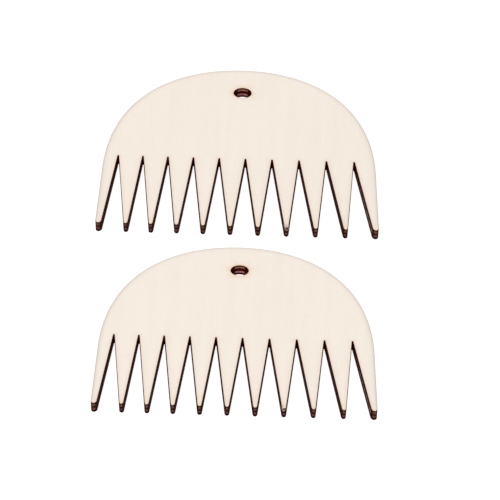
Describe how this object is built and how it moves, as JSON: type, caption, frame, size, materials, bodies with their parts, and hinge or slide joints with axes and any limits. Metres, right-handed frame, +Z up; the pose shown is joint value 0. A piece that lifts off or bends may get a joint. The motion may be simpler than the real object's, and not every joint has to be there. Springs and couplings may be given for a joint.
{
  "type": "weaving combs",
  "caption": "Flat D-shaped wooden weaving combs with tapered teeth, V-shaped notches and a hanging hole, cut from thin plywood.",
  "frame": {"origin": "on the table, under the middle of the pair's bounding box", "axes": "+Y from the teeth to the domes, along the pair's longest side; +Z up, through the board's thickness; +X to the right for a viewer on the teeth's side"},
  "size_m": [0.082, 0.1682, 0.003],
  "materials": {
    "face_veneer_wood": "pale basswood, sanded, unfinished, fine faint grain; edges charred dark brown by laser cutting",
    "core_veneer_wood": "basswood core, seen only at the charred edges, near black to dark brown",
    "back_veneer_wood": "pale basswood, sanded, unfinished; light scorch marks beside the cuts, edges charred dark brown"
  },
  "bodies": {
    "rear_comb": {"rear_comb_back_veneer": "back_veneer_wood", "rear_comb_core_veneer": "core_veneer_wood", "rear_comb_face_veneer": "face_veneer_wood"},
    "front_comb": {"front_comb_back_veneer": "back_veneer_wood", "front_comb_core_veneer": "core_veneer_wood", "front_comb_face_veneer": "face_veneer_wood"}
  },
  "joints": [
    {"name": "front_comb_lift", "type": "slide", "parent": "rear_comb", "child": "front_comb", "axis": [0, 0, 1], "range_m": [0, 0.06]}
  ]
}
